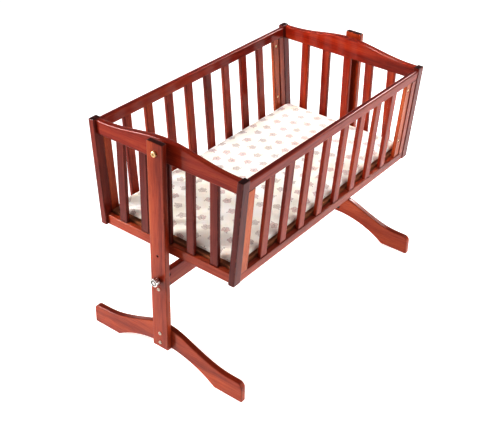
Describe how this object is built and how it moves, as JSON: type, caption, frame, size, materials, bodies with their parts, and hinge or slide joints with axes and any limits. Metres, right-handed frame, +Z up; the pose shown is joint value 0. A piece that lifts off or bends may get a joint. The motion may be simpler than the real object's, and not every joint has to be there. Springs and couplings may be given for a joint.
{
  "type": "swinging baby cradle",
  "caption": "Slatted wooden cradle basket with leaning sides and arched end rails, hung on pivot bolts between two uprights on arched feet, with a mattress.",
  "frame": {"origin": "on the floor, midway between the two ends and the two sides", "axes": "+X along the cradle from the near end to the far end, +Y to the left side, +Z up"},
  "size_m": [1.0366, 0.59, 0.763],
  "materials": {
    "stained_wood": "semi-gloss reddish brown stain",
    "bare_wood": "unfinished beech",
    "hardboard": "plain brown pressed board",
    "mattress_cover": "printed cotton",
    "steel": "zinc plated",
    "chrome": "bright chrome",
    "brass": "brass plated",
    "nylon": "dark nylon"
  },
  "bodies": {
    "stand": {"near_upright": "stained_wood", "near_foot": "stained_wood", "far_upright": "stained_wood", "far_foot": "stained_wood", "stretcher": "stained_wood", "pivot_bushes": "brass", "stand_bolts": "steel", "foot_nuts": "steel", "stretcher_nuts": "steel"},
    "basket": {"near_end_top_rail": "stained_wood", "near_end_bottom_rail": "stained_wood", "near_end_slats": "stained_wood", "near_right_post": "stained_wood", "near_left_post": "stained_wood", "far_end_top_rail": "stained_wood", "far_end_bottom_rail": "stained_wood", "far_end_slats": "stained_wood", "far_right_post": "stained_wood", "far_left_post": "stained_wood", "right_side_top_rail": "stained_wood", "right_side_bottom_rail": "stained_wood", "right_near_stile": "stained_wood", "right_far_inner_stile": "stained_wood", "right_far_outer_stile": "stained_wood", "right_ledge": "stained_wood", "right_side_slat_1": "stained_wood", "right_side_slat_2": "stained_wood", "right_side_slat_3": "stained_wood", "right_side_slat_4": "stained_wood", "right_side_slat_5": "stained_wood", "right_side_slat_6": "stained_wood", "right_side_slat_7": "stained_wood", "right_side_slat_8": "stained_wood", "left_side_top_rail": "stained_wood", "left_side_bottom_rail": "stained_wood", "left_near_stile": "stained_wood", "left_far_inner_stile": "stained_wood", "left_far_outer_stile": "stained_wood", "left_ledge": "stained_wood", "left_side_slat_1": "stained_wood", "left_side_slat_2": "stained_wood", "left_side_slat_3": "stained_wood", "left_side_slat_4": "stained_wood", "left_side_slat_5": "stained_wood", "left_side_slat_6": "stained_wood", "left_side_slat_7": "stained_wood", "left_side_slat_8": "stained_wood", "mattress": "mattress_cover", "mattress_board": "hardboard", "panel_dowels": "bare_wood", "panel_bolts": "steel", "panel_nuts": "brass", "pivot_bolts": "brass", "pivot_spacers": "nylon", "pivot_inserts": "brass", "lock_inserts": "brass"},
    "near_lock": {"near_lock_knob": "chrome", "near_lock_stud": "steel"},
    "far_lock": {"far_lock_knob": "chrome", "far_lock_stud": "steel"}
  },
  "joints": [
    {"name": "basket_swing", "type": "hinge", "parent": "stand", "child": "basket", "pos_m": [0, 0, 0.729], "axis": [1, 0, 0], "range_deg": [-20, 20]},
    {"name": "near_lock_draw", "type": "slide", "parent": "stand", "child": "near_lock", "axis": [-1, 0, 0], "range_m": [0, 0.06]},
    {"name": "far_lock_draw", "type": "slide", "parent": "stand", "child": "far_lock", "axis": [1, 0, 0], "range_m": [0, 0.06]}
  ]
}
